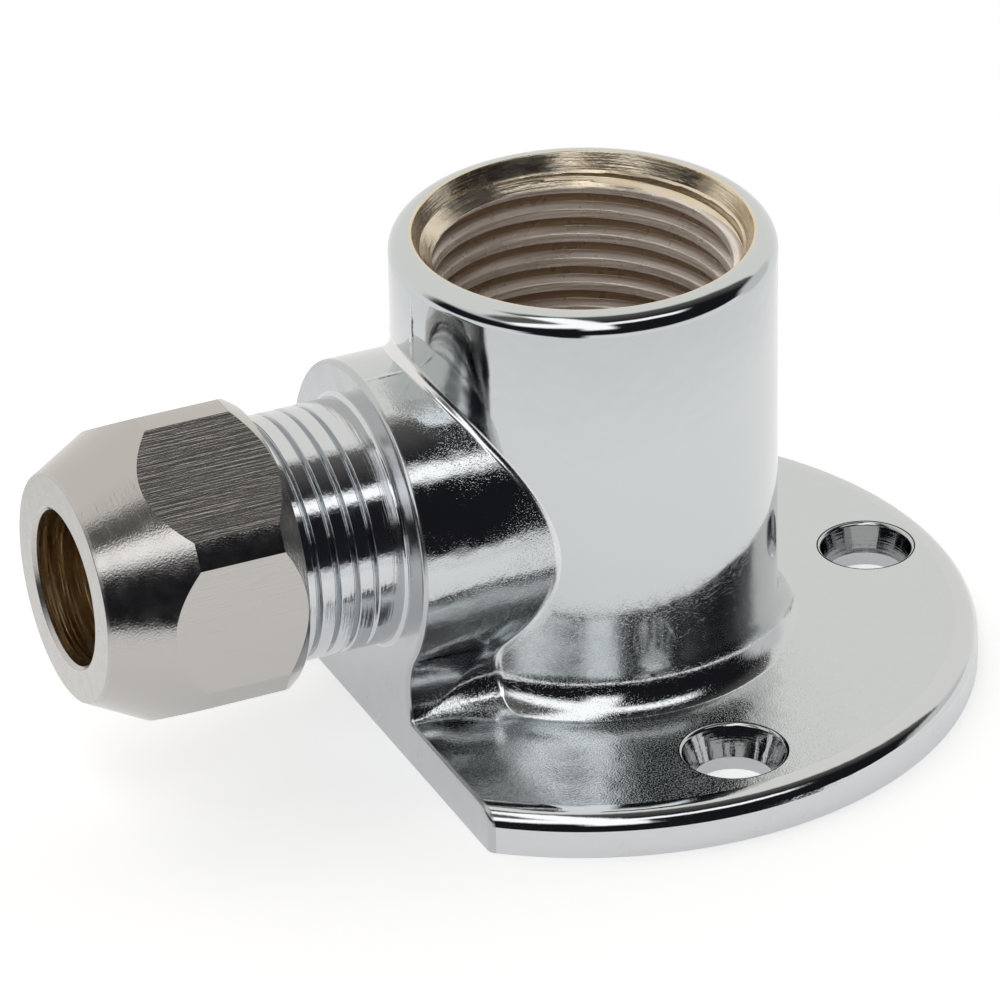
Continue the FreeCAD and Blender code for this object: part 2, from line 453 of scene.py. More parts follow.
def boss_section(foot_fillet):
    """Half of the section of boss and web, (y, z) points and normals from the front foot to the top."""
    hollow_height = flange_thickness + web_narrow_rise
    drop = outlet_height - hollow_height
    hollow_side = sqrt((boss_radius + web_hollow) ** 2 - drop ** 2)
    fillet_height = flange_thickness + foot_fillet
    fillet_drop = hollow_height - fillet_height
    fillet_in = sqrt((web_hollow - foot_fillet) ** 2 - fillet_drop ** 2)
    lean = atan2(drop, hollow_side)
    join = atan2(-fillet_drop, fillet_in)
    arcs = [
        ((fillet_in - hollow_side, fillet_height), foot_fillet, -pi / 2, join, web_steps, -1),
        ((-hollow_side, hollow_height), web_hollow, join, lean, web_steps, -1),
        ((0, outlet_height), boss_radius, pi + lean, pi / 2, crown_steps, 1),
    ]
    points = []
    normals = []
    for centre, radius, start, end, steps, facing in arcs:
        angle = np.linspace(start, end, steps + 1)[1 if points else 0:]
        turn = np.stack([np.cos(angle), np.sin(angle)], axis=1)
        points.append(np.array(centre) + radius * turn)
        normals.append(facing * turn)
    return np.concatenate(points), np.concatenate(normals)


def junction(points, normals):
    """The path of a ball that rolls along the crease of boss and socket.

    Gives its radius, its centre and the normals where it touches both. The ball is larger below the
    outlet's middle, where the forging is softer, and small on the flange.
    """
    foot_radius = socket_radius + foot_flare
    higher = smooth_step(points[:, 1], *crease_change)
    ball = low_crease_round + (crease_round - low_crease_round) * higher
    ball = foot_crease + (ball - foot_crease) * smooth_step(points[:, 1], *foot_crease_change)
    tube = foot_flare - ball
    centre_y = points[:, 0] + ball * normals[:, 0]
    centre_z = points[:, 1] + ball * normals[:, 1]
    below = np.clip(foot_height - centre_z, 0, tube)
    out = np.sqrt(tube ** 2 - below ** 2)
    radius = foot_radius - out
    centre_x = -np.sqrt(radius ** 2 - centre_y ** 2)
    centres = np.stack([centre_x, centre_y, centre_z], axis=1)
    on_boss = np.stack([np.zeros_like(below), normals[:, 0], normals[:, 1]], axis=1)
    on_socket = np.stack([out * centre_x / radius, out * centre_y / radius, below], axis=1) / tube[:, None]
    return ball[:, None], centres, on_boss, on_socket


def swept(start, end, parts):
    """Directions that turn evenly from start to end."""
    parts = parts[:, None]
    mixed = start[:, None] * (1 - parts) + end[:, None] * parts
    return mixed / np.linalg.norm(mixed, axis=2)[:, :, None]


def boss_side(start, end, start_normals, end_normals):
    """Points and normals from the milled edge to the crease, easing from one section to the other."""
    parts = np.linspace(0, 1, 2 * straight_steps + 1)[None, :, None]
    eased = smooth_step(parts, 0, 1)
    share = np.concatenate([parts, eased, eased], axis=2)
    change = (end - start)[:, None]
    points = start[:, None] + change * share
    normals = swept(start_normals, end_normals, eased[0, :, 0])
    pace = 6 * parts * (1 - parts)
    run = change * np.concatenate([np.ones_like(parts), pace, pace], axis=2)
    across = np.gradient(points, axis=0)
    across /= np.linalg.norm(across[..., 1:], axis=2)[..., None]
    slant = across[..., 0]
    across[..., 0] = 0
    lean = -(normals * run).sum(axis=2) / (run[..., 0] - slant * (across * run).sum(axis=2))
    normals = normals - (lean * slant)[..., None] * across
    normals[..., 0] = lean
    return points, normals


def flange_profile():
    """The flange's outer edge: from the wall face up its trimmed side, over its round, to its flat top."""
    edge_top = flange_radius - flange_edge_lean
    points, normals = outline([
        (flange_radius, 0),
        (flange_radius, flange_edge_corner),
        (edge_top, flange_thickness - flange_fall, flange_edge_round),
        (edge_top - flange_fall_width, flange_thickness, flange_fall_round),
        (edge_top - 2 * flange_fall_width, flange_thickness),
    ])
    return points[:-1], normals[:-1]


def milled_edge(section, section_normals):
    """The rounded edge of the milled face, front half, from the wall face up to the boss's top."""
    plane = -milled_face_reach
    start = plane + milled_edge_round
    profile, profile_normals = flange_profile()
    radius = profile[:, 0]
    side = -np.sqrt(radius ** 2 - start ** 2)
    sharp_side = -np.sqrt(radius ** 2 - plane ** 2)
    rim = np.stack([np.full_like(radius, start), side, profile[:, 1]], axis=1)
    rim_sharp = np.stack([np.full_like(radius, plane), sharp_side, profile[:, 1]], axis=1)
    rim_out = profile_normals[:, :1] * rim[:, :2] / radius[:, None]
    rim_normals = np.concatenate([rim_out, profile_normals[:, 1:]], axis=1)
    boss_rim = np.insert(section, 0, start, axis=1)
    boss_sharp = np.insert(section, 0, plane, axis=1)
    boss_normals = np.insert(section_normals, 0, 0, axis=1)
    outer = np.concatenate([rim, boss_rim])
    sharp = np.concatenate([rim_sharp, boss_sharp])
    normals = np.concatenate([rim_normals, boss_normals])
    inset = normals * np.array((0, 1, 1))
    inset[edge_corner_rows] = inset[edge_corner_rows].mean(axis=0)
    inset /= np.linalg.norm(inset, axis=1)[:, None]
    inner = sharp - milled_edge_round * inset
    parts = np.linspace(0, 1, corner_steps // 2 + 1)[None, :, None]
    curve = (1 - parts) ** 2 * outer[:, None] + 2 * parts * (1 - parts) * sharp[:, None]
    curve = curve + parts ** 2 * inner[:, None]
    outwards = np.broadcast_to((-1.0, 0, 0), normals.shape)
    return curve, swept(normals, outwards, parts[0, :, 0])


def mirrored_loop(front):
    """A front run of points and then its mirror image, backwards."""
    return np.concatenate([front, (front * mirror)[::-1]])


def circle(axis, radius, along, angles):
    """One turn of points."""
    return axis.place(radius, along, angles[:-1])


def flange(skin, web_line, foot_line, edge_curve):
    """The flange: its rounded edge, its top round the forging, its wall face and its screw holes."""
    profile, normals = flange_profile()
    start = milled_face_reach - milled_edge_round
    limit = pi - np.arccos(start / profile[:, :1])
    angle = limit * np.linspace(-1, 1, flange_columns + 1)[None, :]
    rim = socket_axis.place(profile[:, :1], profile[:, 1:], angle)
    rim_normals = socket_axis.lean(normals[:, :1], normals[:, 1:], angle)
    corner_row = edge_corner_rows.start + 1
    skin.grid(rim[:corner_row], rim_normals[:corner_row], "trimmed")
    skin.grid(rim[corner_row:], rim_normals[corner_row:], "edge")
    holes = [(Axis((x, y, 0), (0, 0, 1), (1, 0, 0)), head) for x, y, head in screw_holes]
    back_line = (web_line * mirror)[::-1]
    inner = np.concatenate([web_line[:-1], foot_line[:-1], back_line])
    head_loops = [
        circle(axis, head + screw_head_round / 2, flange_thickness, hole_angles) for axis, head in holes
    ]
    skin.flat([np.concatenate([rim[-1][::-1], inner])] + head_loops, (0, 1), (0, 0, 1), "forged")
    foot_loops = [circle(axis, screw_hole_radius, 0, hole_angles) for axis, head in holes]
    chord = mirrored_loop(edge_curve[0])
    skin.flat([np.concatenate([rim[0][::-1], chord[1:-1]])] + foot_loops, (0, 1), (0, 0, -1), "milled")
    for axis, head in holes:
        turned(skin, axis, hole_angles, [
            (head + screw_head_round / 2, flange_thickness),
            (head, flange_thickness, screw_head_round),
            (screw_hole_radius, screw_hole_land, screw_head_round),
            (screw_hole_radius, 0),
        ], "turned")


def chamber_wall(skin):
    """The drilled chamber under the thread, open where the waterway enters it."""
    drill_depth = chamber_radius / tan(radians(drill_point_angle / 2))
    drill_top = chamber_floor + drill_depth
    entry = spigot_angles[:-1]
    entry_side = waterway_radius * np.cos(entry)
    entry_loop = np.stack([
        chamber_radius * np.arcsin(entry_side / chamber_radius),
        outlet_height + waterway_radius * np.sin(entry),
    ], axis=1)
    ring = chamber_radius * round_angles
    low_run = np.stack([ring, np.full_like(ring, drill_top)], axis=1)
    high_run = np.stack([ring, np.full_like(ring, socket_thread_low)], axis=1)
    wall_loop = np.concatenate([low_run, high_run[::-1]])
    levels = np.linspace(drill_top, socket_thread_low, straight_steps + 1)[1:-1]
    spare = np.array([(side, level) for level in levels for side in ring[1:-1:3]])
    entry_gap = np.hypot(spare[:, 0], spare[:, 1] - outlet_height)
    spare = spare[entry_gap > waterway_radius + entry_margin]
    flat_points = np.concatenate([wall_loop, entry_loop, spare])
    faces = filled(flat_points, [len(wall_loop), len(entry_loop)])
    angle = flat_points[:, 0] / chamber_radius + pi
    height = flat_points[:, 1]
    points = socket_axis.place(chamber_radius, height, angle)
    skin.add(points, socket_axis.lean(-1, 0, angle), faces, "bare")
    turned(skin, socket_axis, round_angles, [(chamber_radius, drill_top), (0, chamber_floor)], "bare")


def waterway(skin):
    """The way from the pipe socket into the chamber, and the pipe socket with its ring seat."""
    pipe_stop = spigot_end - pipe_depth
    seat_depth = (seat_mouth_radius - pipe_socket_radius) / tan(radians(seat_angle))
    turned(skin, outlet_axis, spigot_angles, [
        (spigot_radius - spigot_end_chamfer, spigot_end),
        (seat_mouth_radius, spigot_end),
        (pipe_socket_radius, spigot_end - seat_depth),
        (pipe_socket_radius, pipe_stop),
        (waterway_radius, pipe_stop),
    ], "bare")
    inner = np.sqrt(chamber_radius ** 2 - (waterway_radius * np.cos(spigot_angles)) ** 2)
    reach = np.linspace(pipe_stop, inner, straight_steps + 1)
    places = outlet_axis.place(waterway_radius, reach, spigot_angles)
    skin.grid(places, outlet_axis.lean(-1, 0, spigot_angles), "bare")


def revolved(points, normals, angle):
    """A run of points and its normals, turned about the socket to other angles."""
    radius = np.hypot(points[:, 0], points[:, 1])[:, None]
    out = np.hypot(normals[:, 0], normals[:, 1])[:, None]
    places = socket_axis.place(radius, points[:, 2:], angle)
    return places, socket_axis.lean(out, normals[:, 2:], angle)


def socket_mouth(skin, wall_top):
    """The socket's rim, its turned mouth, and its thread down to the ledge over the chamber."""
    turned(skin, socket_axis, round_angles, [
        (socket_radius, wall_top),
        (socket_radius, body_height, rim_round),
        (mouth_radius + mouth_round, body_height),
    ], "wall")
    turned(skin, socket_axis, round_angles, [
        (mouth_radius + mouth_round, body_height),
        (mouth_radius, body_height, mouth_round),
        (lead_in_radius, body_height - lead_in_depth),
    ], "mouth")
    mouth_low = body_height - mouth_finish_depth
    for low, high, finish in (
        (socket_thread_low, mouth_low, "bore"),
        (mouth_low, body_height - lead_in_depth, "mouth"),
    ):
        threaded(skin, socket_axis, round_angles, low, high, socket_pitch, socket_thread, -1, finish)
    turned(skin, socket_axis, round_angles, [
        (socket_root_radius, socket_thread_low),
        (chamber_radius, socket_thread_low),
    ], "bare")


def spigot(skin):
    """The spigot's rounded neck and its thread."""
    neck_end = milled_face_reach + spigot_neck
    turned(skin, outlet_axis, spigot_angles, [
        (spigot_radius + spigot_neck, milled_face_reach),
        (spigot_radius, milled_face_reach, spigot_neck_round),
        (spigot_radius, neck_end),
    ], "thread")
    threaded(
        skin, outlet_axis, spigot_angles, neck_end, spigot_end,
        spigot_pitch, spigot_thread, 1, "thread",
    )


def elbow_body(finishes):
    """The forged body: boss and socket with a rolled crease between them, flange, spigot and hollows."""
    skin = Skin()
    section, section_normals = boss_section(web_end_fillet)
    ball, centres, on_boss, on_socket = junction(*boss_section(web_root_fillet))

    edge_curve, edge_normals = milled_edge(section, section_normals)
    skin.both_sides(edge_curve, edge_normals, "milled")
    boss_start = edge_curve[-len(section):, 0]
    boss_end = centres - ball * on_boss
    boss, boss_normals = boss_side(boss_start, boss_end, edge_normals[-len(section):, 0], on_boss)
    skin.both_sides(boss, boss_normals, "forged")

    crease_normals = swept(on_boss, on_socket, np.linspace(0, 1, corner_steps + 1))
    crease = centres[:, None] - ball[:, None] * crease_normals
    skin.both_sides(crease, crease_normals, "crease")

    contact = centres - ball * on_socket
    front_angle = -np.abs(np.arctan2(centres[:, 1], centres[:, 0]))[:, None]
    angle = front_angle * np.linspace(1, -1, round_columns + 1)[None, :]
    skin.grid(*revolved(contact, on_socket, angle), "wall")
    corner, corner_normals = revolved(crease[0], crease_normals[0], angle[:1])
    skin.grid(corner, corner_normals, "forged")
    socket_mouth(skin, contact[-1, 2])
    chamber_wall(skin)
    waterway(skin)

    flange(skin, boss[0], corner[0], edge_curve)
    face_loop = mirrored_loop(edge_curve[:, -1])
    neck_loop = circle(outlet_axis, spigot_radius + spigot_neck, milled_face_reach, spigot_angles)
    skin.flat([face_loop, neck_loop], (1, 2), (-1, 0, 0), "milled")
    spigot(skin)
    return skin.made("elbow_forging", finishes)


def nut_barrel(angle):
    """The nut's radius between nose and rear chamfer: a flat, or the round land at a corner."""
    from_flat = (angle - radians(nut_turn) + pi / 6) % (pi / 3) - pi / 6
    return np.minimum(nut_across_flats / 2 / np.cos(from_flat), nut_corner_radius)


def nut_cone(skin, angle, reach, slope, tip_reach, tip_radius):
    """One stretch of the nut's nose or rear chamfer, which narrows outwards by its slope."""
    radius = tip_radius + (tip_reach - reach) * slope
    skin.grid(outlet_axis.place(radius, reach, angle), outlet_axis.lean(1, slope, angle), "turned")


def nut_side(skin, angle, normals, finish):
    """One flat or one land of the nut, with the stretches of nose and rear chamfer beyond its ends."""
    barrel = nut_barrel(angle)
    nose_slope = tan(radians(nut_nose_angle))
    rear_slope = -tan(radians(nut_rear_angle))
    nose_start = nut_end - (barrel - nut_nose_radius) / nose_slope
    rear_start = nut_rear - (barrel - nut_rear_radius) / rear_slope
    reach = np.linspace(rear_start, nose_start, straight_steps + 1)
    skin.grid(outlet_axis.place(barrel, reach, angle), normals, finish)
    nose_reach = np.linspace(nose_start, nut_end - nut_nose_round, straight_steps + 1)
    nut_cone(skin, angle, nose_reach, nose_slope, nut_end, nut_nose_radius)
    rear_reach = np.linspace(nut_rear, rear_start, rear_steps + 1)
    nut_cone(skin, angle, rear_reach, rear_slope, nut_rear, nut_rear_radius)


def nut_angles():
    """The angles that the nut's flats and lands are divided at, over one whole turn."""
    land_start = np.arccos(nut_across_flats / 2 / nut_corner_radius)
    flat_parts = np.linspace(-land_start, land_start, flat_steps + 1)
    land_parts = np.linspace(land_start, pi / 3 - land_start, land_steps + 1)
    turns = radians(nut_turn) + np.arange(6) * pi / 3
    return [(turn, turn + flat_parts, turn + land_parts) for turn in turns]


def compression_nut(finishes):
    """The hexagon nut: six milled flats with turned lands between them, nose, bore and thread."""
    skin = Skin()
    around = []
    for turn, flat_angle, land_angle in nut_angles():
        nut_side(skin, flat_angle, outlet_axis.lean(1, 0, turn), "milled")
        nut_side(skin, land_angle, outlet_axis.lean(1, 0, land_angle), "turned")
        around += [*flat_angle[:-1], *land_angle[:-1]]
    angles = np.array(around + [around[0] + 2 * pi])
    nose_tip = nut_end - nut_nose_round
    nose_edge = nut_nose_radius + nut_nose_round * tan(radians(nut_nose_angle))
    turned(skin, outlet_axis, angles, [
        (nose_edge, nose_tip),
        (nut_nose_radius, nut_end, nut_nose_round / 2),
        (nut_bore_radius + nut_bore_chamfer, nut_end, nut_bore_chamfer / 3),
        (nut_bore_radius, nut_end - nut_bore_chamfer),
    ], "face")
    seat_end = nut_seat_start + nut_seat_radius - nut_bore_radius
    turned(skin, outlet_axis, angles, [
        (nut_bore_radius, nut_end - nut_bore_chamfer),
        (nut_bore_radius, seat_end),
        (nut_seat_radius, nut_seat_start),
        (spigot_radius + thread_clearance, nut_seat_start),
    ], "bore")
    threaded(
        skin, outlet_axis, spigot_angles, nut_rear + nut_mouth_chamfer, nut_seat_start,
        spigot_pitch, nut_thread, -1, "bore",
    )
    turned(skin, outlet_axis, angles, [
        (spigot_radius + thread_clearance, nut_rear + nut_mouth_chamfer),
        (spigot_radius + thread_clearance + nut_mouth_chamfer, nut_rear),
        (nut_rear_radius, nut_rear),
    ], "face")
    return skin.made("hexagon_nut", finishes)


class Graph:
    """Short ways to build the nodes of a material or a world."""

    def __init__(self, owner):
        owner.use_nodes = True
        self.tree = owner.node_tree

    def add(self, kind, *values, **settings):
        """A new node with these settings. The values go to its first inputs."""
        node = self.tree.nodes.new(kind)
        for name, setting in settings.items():
            setattr(node, name, setting)
        for value, target in zip(values, node.inputs):
            self.put(value, target)
        return node

    def put(self, value, target):
        """Sets an input to a number or a colour, or joins an output or a node's first output to it."""
        if isinstance(value, (int, float)):
            target.default_value = value
        elif isinstance(value, tuple):
            target.default_value = (*value, 1)
        elif isinstance(value, bpy.types.Node):
            self.tree.links.new(value.outputs[0], target)
        else:
            self.tree.links.new(value, target)

    def math(self, operation, *values):
        """Arithmetic on outputs and numbers."""
        return self.add("ShaderNodeMath", *values, operation=operation)

    def ranged(self, value, *limits, shape="LINEAR"):
        """A value moved from one range to another, and held inside it."""
        return self.add("ShaderNodeMapRange", value, *limits, interpolation_type=shape)

    def parts(self, vector):
        """The X, Y and Z parts of a place or a direction."""
        return self.add("ShaderNodeSeparateXYZ", vector).outputs

    def length(self, vector):
        """How long a vector is."""
        return self.add("ShaderNodeVectorMath", vector, operation="LENGTH").outputs["Value"]

    def mixed(self, share, first, second):
        """One colour giving way to another as a share rises from 0 to 1."""
        node = self.add("ShaderNodeMix", data_type="RGBA")
        self.put(share, node.inputs["Factor"])
        colours = [entry for entry in node.inputs if entry.type == "RGBA"]
        for colour, target in zip((first, second), colours):
            self.put(colour, target)
        return [entry for entry in node.outputs if entry.type == "RGBA"][0]


class Nodes(Graph):
    """Short ways to build one metal. Textures run in millimetres."""

    def __init__(self, name, colour=pure_white):
        self.material = bpy.data.materials.new(name)
        super().__init__(self.material)
        self.shader = self.tree.nodes["Principled BSDF"]
        self.put(colour, self.shader.inputs["Base Color"])
        self.put(1, self.shader.inputs["Metallic"])
        self.place = self.add("ShaderNodeTexCoord").outputs["Object"]

    def noise(self, scale, detail=2.0, tilt=0.0):
        """Cloudy noise with features per millimetre, along each axis or all alike, tilted about Y."""
        mapping = self.add("ShaderNodeMapping", self.place, vector_type="TEXTURE")
        mapping.inputs["Scale"].default_value = mm / np.broadcast_to(scale, 3)
        mapping.inputs["Rotation"].default_value = (0, radians(tilt), 0)
        node = self.add("ShaderNodeTexNoise", mapping)
        node.inputs["Scale"].default_value = 1
        node.inputs["Detail"].default_value = detail
        return node

    def spread(self, scale, low, high, detail=2.0):
        """Cloudy noise drawn out to run between two numbers."""
        return self.ranged(self.noise(scale, detail), *noise_range, low, high)

    def part(self, axis):
        """The X, Y or Z part of the place on the piece."""
        return self.parts(self.place)[axis]

    def fading(self, value, stretch, first=1, last=0):
        """A number that changes over a stretch of a length, given in millimetres."""
        return self.ranged(value, stretch[0] * mm, stretch[1] * mm, first, last)

    def from_socket(self):
        """The distance from the socket's axis."""
        flat = self.add("ShaderNodeVectorMath", self.place, operation="MULTIPLY")
        flat.inputs[1].default_value = (1, 1, 0)
        return self.length(flat)

    def bump(self, height, depth, share=1):
        """Presses a height into the surface, over the bumps that are there already. share can fade it."""
        node = self.add("ShaderNodeBump")
        self.put(depth * mm, node.inputs["Distance"])
        self.put(height, node.inputs["Height"])
        self.put(share, node.inputs["Strength"])
        target = self.shader.inputs["Normal"]
        if target.is_linked:
            self.put(target.links[0].from_socket, node.inputs["Normal"])
        self.put(node, target)

    def grain(self, scale, depth, detail=2.0, share=1):
        """Presses cloudy noise into the surface."""
        self.bump(self.noise(scale, detail), depth, share)

    def tinted(self, value, low_colour, high_colour):
        """Lets the colour run between two tints."""
        self.put(self.mixed(value, low_colour, high_colour), self.shader.inputs["Base Color"])

    def roughened(self, scale, low, high, detail=2.0):
        """Lets the roughness run between two numbers."""
        self.put(self.spread(scale, low, high, detail), self.shader.inputs["Roughness"])


def parting_line(nodes):
    """Leaves the low ridge that the two halves of the forging die make over the outlet's side."""
    wander = nodes.spread(0.6, -parting_wander * mm, parting_wander * mm)
    from_line = nodes.math("ABSOLUTE", nodes.math("SUBTRACT", nodes.part("Y"), parting_side * mm))
    ridge = nodes.fading(nodes.math("ADD", from_line, wander), (0, parting_width))
    near_outlet = nodes.fading(nodes.part("X"), parting_end)
    below_rim = nodes.fading(nodes.part("Z"), parting_top)
    nodes.bump(ridge, parting_height, nodes.math("MULTIPLY", near_outlet, below_rim))


def stipple(nodes, depth, share):
    """Presses a fine grain into the surface."""
    nodes.grain(7.0, depth, share=share)


def pitted(nodes, depth, share):
    """Presses the forging's scattered small pits into the surface."""
    pits = nodes.ranged(nodes.noise(10.0, 1.0), 0.56, 0.72, 1, 0)
    nodes.bump(pits, depth, share)


def forged_chrome():
    """Bright plate over a forging: wavy and stippled, with the die's parting line."""
    nodes = Nodes("forged_chrome", (0.62, 0.645, 0.655))
    on_flange = nodes.fading(nodes.part("Z"), flange_grain)
    patchy = nodes.ranged(nodes.noise(0.16), 0.4, 0.6, 0.2, 0.7)
    grainy = nodes.math("MAXIMUM", on_flange, patchy)
    nodes.grain(0.22, 0.13)
    nodes.grain(1.3, 0.014, share=grainy)
    stipple(nodes, 0.014, grainy)
    pitted(nodes, 0.009, grainy)
    parting_line(nodes)
    nodes.roughened(0.5, 0.03, 0.08, 3.0)
    return nodes.material


def wall_chrome():
    """Bright plate over the socket's wall: stippled and scratched near its foot, smoother above."""
    nodes = Nodes("wall_chrome", (0.62, 0.645, 0.655))
    low = nodes.fading(nodes.part("Z"), wall_grain, 1, 0.08)
    nodes.grain(0.25, 0.04)
    stipple(nodes, 0.003, low)
    pitted(nodes, 0.0025, low)
    for tilt in (-50, -12, 28):
        scratch = nodes.ranged(nodes.noise((1.1, 1.1, 13.0), 1.0, tilt), 0.66, 0.74, 0, 1)
        nodes.bump(scratch, 0.0016, low)
    parting_line(nodes)
    nodes.roughened(0.5, 0.04, 0.08, 3.0)
    return nodes.material


def edge_chrome():
    """Bright plate over the flange's round edge, which is smoother than its top."""
    nodes = Nodes("edge_chrome", (0.64, 0.66, 0.67))
    nodes.grain(0.5, 0.02)
    stipple(nodes, 0.003, nodes.spread(0.3, 0.2, 1))
    nodes.roughened(0.6, 0.03, 0.08)
    return nodes.material


def crease_painted_highlight_chrome():
    """Plate in the crease of boss and socket, given a paler colour than the forging that paints a bright
    highlight line along the crease.
    """
    # The paler base colour here is a painted highlight along the crease.
    nodes = Nodes("crease_painted_highlight_chrome", (0.78, 0.79, 0.8))
    stipple(nodes, 0.008, nodes.spread(0.4, 0.3, 1))
    nodes.roughened(0.8, 0.12, 0.22)
    return nodes.material


def milled_chrome(name, colour):
    """Plate over cut faces, with the cutter's faint lines."""
    nodes = Nodes(name, colour)
    nodes.grain((0.2, 5.0, 0.2), 0.004)
    nodes.grain(1.5, 0.006)
    nodes.roughened(0.6, 0.18, 0.28)
    return nodes.material


def thread_chrome():
    """Plate over the spigot's cut thread, with the tool's lines round it."""
    nodes = Nodes("thread_chrome", (0.66, 0.68, 0.7))
    nodes.grain((7.0, 0.25, 0.25), 0.014)
    nodes.grain(3.0, 0.008)
    nodes.roughened(0.8, 0.07, 0.14)
    return nodes.material


def turned_chrome():
    """Plate over the countersinks, with fine turned lines at each depth."""
    nodes = Nodes("turned_chrome", (0.55, 0.56, 0.57))
    nodes.grain((0.1, 0.1, 7.0), 0.007)
    nodes.grain((2.5, 2.5, 0.6), 0.012)
    nodes.roughened((0.8, 0.8, 3.0), 0.04, 0.1)
    return nodes.material


def plated_bore():
    """The socket's thread: pale plate on the crests, turning brown towards the roots as painted shade."""
    nodes = Nodes("plated_bore")
    nodes.put(0.35, nodes.shader.inputs["Metallic"])
    # Darker towards the thread's roots: painted shade in the hollows of the thread.
    crest = nodes.fading(nodes.from_socket(), root_shade_radii)
    lined = nodes.ranged(nodes.noise((0.15, 0.15, 5.0)), 0.38, 0.58, 0.55, 1)
    nodes.tinted(nodes.math("MULTIPLY", crest, lined), (0.4, 0.29, 0.2), (1.0, 0.93, 0.86))
    nodes.grain((0.12, 0.12, 4.5), 0.09, 3.0)
    nodes.grain(4.0, 0.012)
    nodes.roughened(0.7, 0.24, 0.36)
    return nodes.material


def brass_mouth():
    """The turned mouth of the socket, golden where the plate is thin."""
    nodes = Nodes("brass_mouth")
    nodes.tinted(nodes.noise((0.3, 0.3, 1.0)), (0.72, 0.57, 0.36), (0.8, 0.76, 0.68))
    nodes.grain((0.15, 0.15, 7.0), 0.02)
    nodes.grain((1.4, 1.4, 3.0), 0.02)
    nodes.roughened((0.5, 0.5, 2.0), 0.18, 0.3)
    return nodes.material


def bare_brass():
    """Turned brass without plate, dull and unevenly tarnished."""
    nodes = Nodes("bare_brass")
    nodes.tinted(nodes.noise(0.4, 3.0), (0.42, 0.3, 0.16), (0.58, 0.46, 0.28))
    nodes.grain((5.0, 0.3, 0.3), 0.003)
    nodes.roughened(0.8, 0.24, 0.38)
    return nodes.material


def bore_brass():
    """The nut's bore: bright turned brass, browner in patches, with the drill's rings."""
    nodes = Nodes("bore_brass")
    nodes.tinted(nodes.noise((0.6, 0.2, 0.2)), (0.5, 0.36, 0.2), (0.84, 0.7, 0.48))
    nodes.grain((2.6, 0.12, 0.12), 0.09, 3.0)
    nodes.roughened((1.5, 0.3, 0.3), 0.18, 0.32)
    return nodes.material


def milled_nickel():
    """Satin plate over the nut's flats, with the cutter's lines along the nut."""
    nodes = Nodes("milled_nickel", (0.52, 0.505, 0.485))
    nodes.grain((0.1, 5.5, 5.5), 0.014, 4.0)
    nodes.grain((0.5, 9.0, 9.0), 0.01)
    nodes.grain(8.0, 0.006)
    nodes.roughened((0.4, 2.0, 2.0), 0.09, 0.15)
    return nodes.material


def turned_nickel():
    """Satin plate over the nut's turned nose and lands, brushed round the nut and finely grained."""
    nodes = Nodes("turned_nickel", (0.52, 0.505, 0.485))
    nodes.grain((6.0, 0.4, 0.4), 0.01)
    stipple(nodes, 0.011, nodes.ranged(nodes.noise(0.4), 0.3, 0.6, 0.6, 1))
    nodes.roughened(1.0, 0.12, 0.2)
    return nodes.material


def nickel_face():
    """Satin plate over the nut's end faces."""
    nodes = Nodes("nickel_face", (0.54, 0.525, 0.51))
    nodes.grain((0.2, 3.0, 3.0), 0.006)
    nodes.roughened(1.0, 0.2, 0.3)
    return nodes.material


class Studio(Graph):
    """Short ways to build the world and the floor, from nothing."""

    def __init__(self, owner):
        super().__init__(owner)
        self.tree.nodes.clear()

    def ramp(self, turn, stops):
        """Colours at angles of climb in degrees: 0 is level in front, and 90 is straight up."""
        node = self.add("ShaderNodeValToRGB", turn)
        elements = node.color_ramp.elements
        while len(elements) < len(stops):
            elements.new(0.5)
        for element, (angle, level) in zip(elements, stops):
            element.position = (angle + 180) / 360
            element.color = (*level, 1)
        return node

    def blend(self, value, border, first, second):
        """One colour giving way to another as a value crosses a soft border."""
        return self.mixed(self.ranged(value, *border, 0, 1, shape="SMOOTHSTEP"), first, second)


def studio_world():
    """A plain studio: white to the camera, and to the metal a pale room with a dark camera side.

    On the left a tall soft lamp stands beside the camera, and on the right there is a narrow one.
    """
    world = bpy.data.worlds.new("studio")
    studio = Studio(world)
    side, depth, height = studio.parts(studio.add("ShaderNodeTexCoord").outputs["Generated"])
    climb = studio.math("ARCTAN2", height, studio.math("MULTIPLY", depth, -1))
    turn = studio.ranged(climb, -pi, pi, 0, 1)
    behind = [(-180, room_pale), (-140, room_floor)]
    floor = behind + [(-10, room_floor), (-5, room_dark)]
    left_floor = behind + [(-30, room_floor), (-22, room_dark)]
    right = studio.ramp(turn, floor + [
        (44, room_dark), (49, lamp_white), (55, lamp_white),
        (60, room_dark), (94, room_ceiling), (102, room_pale),
    ])
    far_right = studio.ramp(turn, floor + [
        (63, room_dark), (94, room_ceiling), (102, room_pale),
    ])
    left = studio.ramp(turn, floor + [
        (18, room_dark), (27, lamp_white), (90, lamp_white),
        (94, room_ceiling), (99, room_ceiling), (107, room_pale),
    ])
    far_left = studio.ramp(turn, left_floor + [
        (32, room_dark), (42, lamp_white), (56, lamp_white),
        (63, room_ceiling), (84, room_ceiling), (94, room_pale),
    ])
    whole_left = studio.blend(side, far_left_border, far_left, left)
    whole_right = studio.blend(side, far_right_border, right, far_right)
    room = studio.blend(side, middle_border, whole_left, whole_right)
    high_side = studio.blend(height, side_top_border, room_dark, room_side)
    left_side = studio.blend(height, side_foot_border, room_floor, high_side)
    left_walled = studio.blend(side, left_wall_border, left_side, room)
    walled = studio.blend(side, right_wall_border, left_walled, room_side)
    glow = studio.add("ShaderNodeBackground", walled)
    white = studio.add("ShaderNodeBackground", pure_white)
    seen = studio.add("ShaderNodeLightPath").outputs["Is Camera Ray"]
    studio.add("ShaderNodeOutputWorld", studio.add("ShaderNodeMixShader", seen, glow, white))
    bpy.context.scene.world = world


